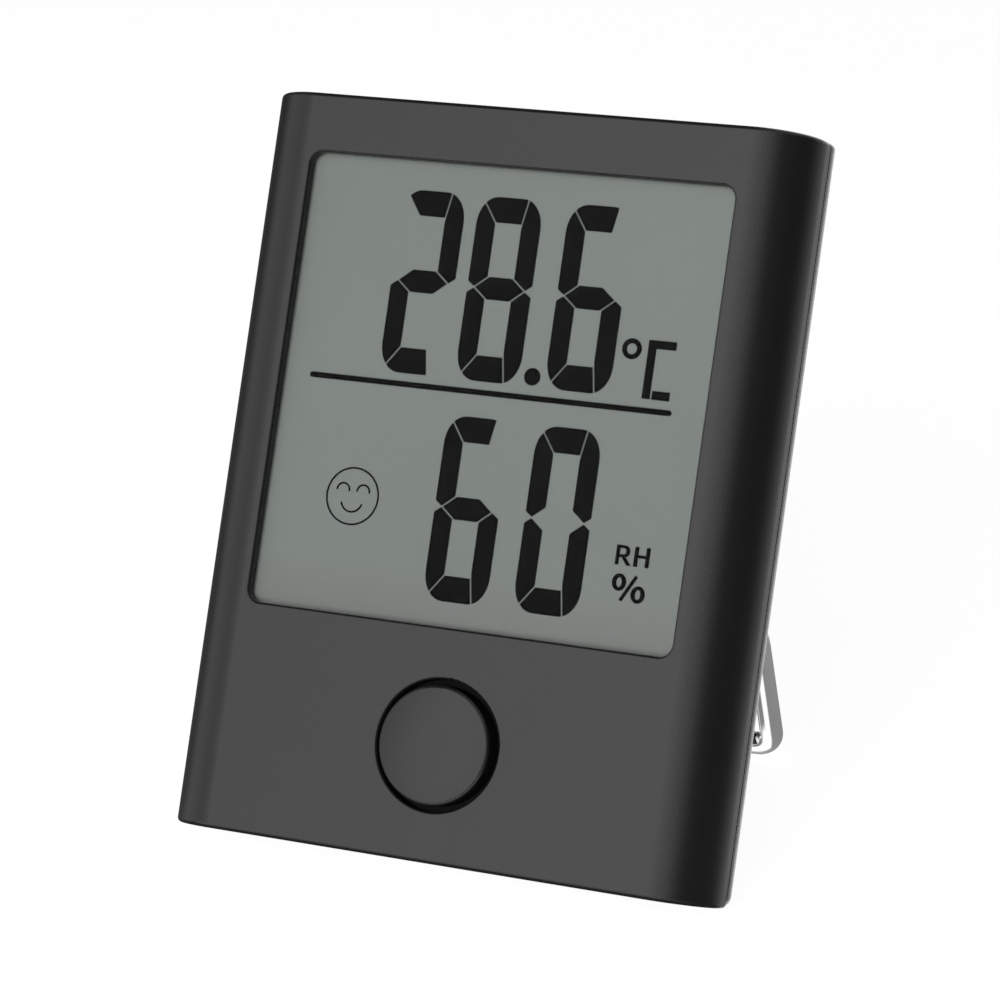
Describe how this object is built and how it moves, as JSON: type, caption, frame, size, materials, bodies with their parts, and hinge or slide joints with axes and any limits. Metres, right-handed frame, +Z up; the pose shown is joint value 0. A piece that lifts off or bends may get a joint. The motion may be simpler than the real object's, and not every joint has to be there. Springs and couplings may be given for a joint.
{
  "type": "temperature humidity sensor",
  "caption": "Small desk temperature and humidity sensor: flat rounded case with a square display, a round push button below it and a folding wire stand behind it.",
  "frame": {"origin": "under the middle of the bounding box, on the table that the part stands on", "axes": "+Z up, the display looks along -Y and upward, +X to the right of a person who reads the display"},
  "size_m": [0.06, 0.0524, 0.0747],
  "materials": {
    "case": "satin",
    "button": "satin",
    "lens": "polished",
    "film": "satin",
    "display_glass": "polished",
    "foam": "matte",
    "tape": "matte",
    "contact_rubber": "matte",
    "board": "satin",
    "resin": "gloss",
    "sensor_shell": "matte",
    "steel": "brushed",
    "parts": "matte",
    "brass": "satin",
    "magnet": "polished",
    "wire": "polished"
  },
  "bodies": {
    "housing": {"front_shell": "case", "rear_cover": "case", "window_lens": "lens", "lens_tape": "tape", "lcd_front_film": "film", "lcd_front_glass": "display_glass", "lcd_rear_glass": "display_glass", "lcd_reflector": "film", "lcd_foam": "foam", "zebra_strip": "contact_rubber", "switch_body": "steel", "main_board": "board", "chip_cover": "resin", "clock_crystal": "steel", "board_parts": "parts", "humidity_sensor": "sensor_shell", "thermistor": "resin", "board_screws": "steel", "contact_minus": "brass", "contact_plus": "brass", "coin_cell": "steel", "magnets": "magnet", "case_screws": "steel"},
    "button": {"button_cap": "button", "switch_plunger": "resin"},
    "door": {"battery_door": "case"},
    "stand": {"wire_stand": "wire"}
  },
  "joints": [
    {"name": "stand_swing", "type": "hinge", "parent": "housing", "child": "stand", "pos_m": [0, 0.0047, 0.05805], "axis": [1, 0, 0], "range_deg": [-40.9, 0]},
    {"name": "button_press", "type": "slide", "parent": "housing", "child": "button", "axis": [0, 0.9318, -0.3629], "range_m": [0, 0.00025], "stiffness_N_per_m": 1000},
    {"name": "door_turn", "type": "hinge", "parent": "housing", "child": "door", "pos_m": [0, -0.00374, 0.03016], "axis": [0, 0.9318, -0.3629], "range_deg": [0, 40]}
  ]
}
